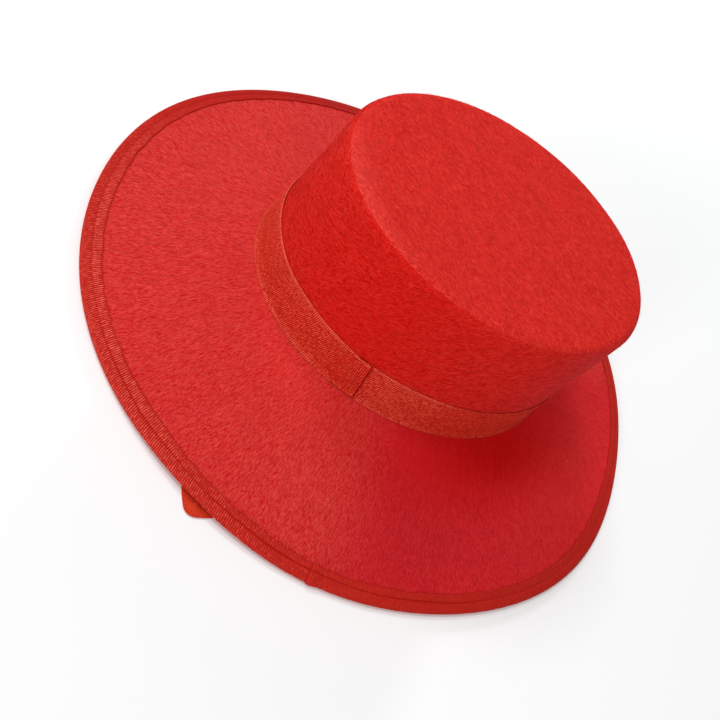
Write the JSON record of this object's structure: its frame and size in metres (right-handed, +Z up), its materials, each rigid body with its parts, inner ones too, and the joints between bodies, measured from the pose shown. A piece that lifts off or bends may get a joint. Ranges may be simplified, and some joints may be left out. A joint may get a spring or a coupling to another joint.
{
  "type": "cordobes hat",
  "caption": "Wide-brimmed flat-topped felt hat with a ribbon band, a ribbon-bound drooping brim and a ribbon chin strap.",
  "frame": {"origin": "on the surface that the hat rests on, under the middle of the brim", "axes": "+Z up through the crown, -Y towards the hat's front, +X towards the wearer's left"},
  "size_m": [0.3576, 0.3834, 0.1228],
  "materials": {
    "felt": "stiff red needled felt, short visible fibres, matt",
    "band_ribbon": "orange-red grosgrain ribbon with ribs across its width",
    "binding_ribbon": "orange-red grosgrain ribbon folded over the edge and stitched",
    "strap_ribbon": "narrow orange-red grosgrain ribbon"
  },
  "bodies": {
    "root": {"felt_body": "felt", "hat_band": "band_ribbon", "brim_binding": "binding_ribbon", "chin_strap": "strap_ribbon"}
  },
  "joints": []
}
